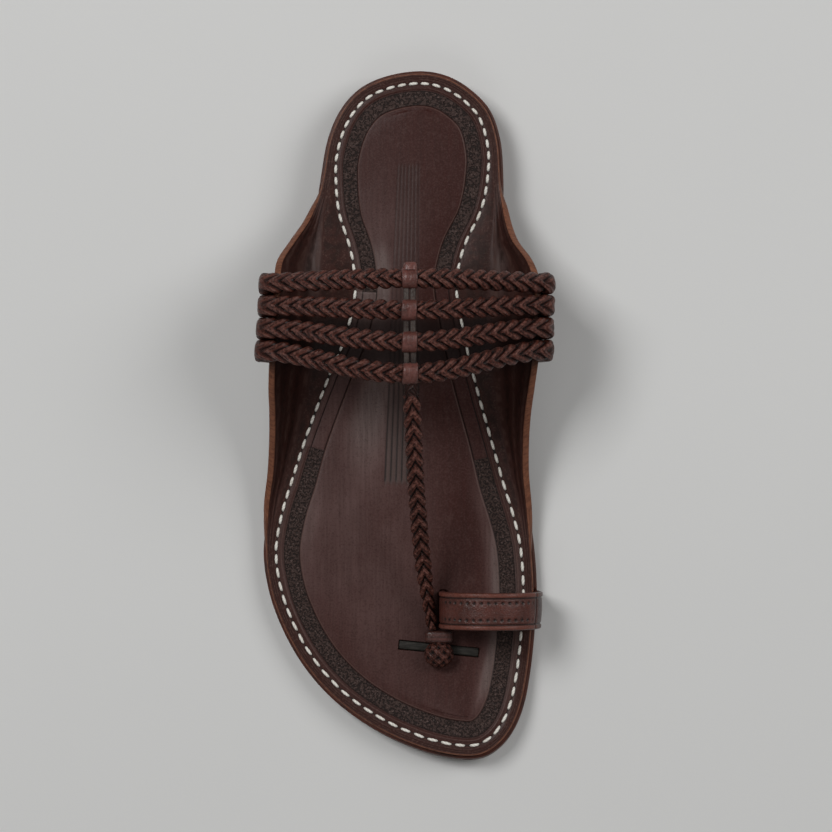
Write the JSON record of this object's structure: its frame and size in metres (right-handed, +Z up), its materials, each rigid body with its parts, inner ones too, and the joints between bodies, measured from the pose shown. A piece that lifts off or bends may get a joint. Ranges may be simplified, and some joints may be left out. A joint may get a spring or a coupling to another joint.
{
  "type": "kolhapuri sandal",
  "caption": "Leather thong sandal, open at toe and heel: braided instep cords between raised side ears, a braided toe strap with a knot, and a flat ring for the big toe.",
  "frame": {"origin": "middle of the sandal's box on the floor that it stands on", "axes": "+X to the big toe's side, +Y from the toes to the heel, +Z up"},
  "size_m": [0.1162, 0.273, 0.0733],
  "materials": {
    "sole_leather": "burnished edge, satin",
    "footbed_leather": "oiled, satin, embossed",
    "cord_leather": "waxed, semi-gloss",
    "ring_leather": "polished, semi-gloss"
  },
  "bodies": {
    "root": {"outsole": "sole_leather", "heel_lift": "sole_leather", "footbed": "footbed_leather", "upper": "cord_leather", "toe_ring": "ring_leather", "toe_knot": "cord_leather"}
  },
  "joints": []
}
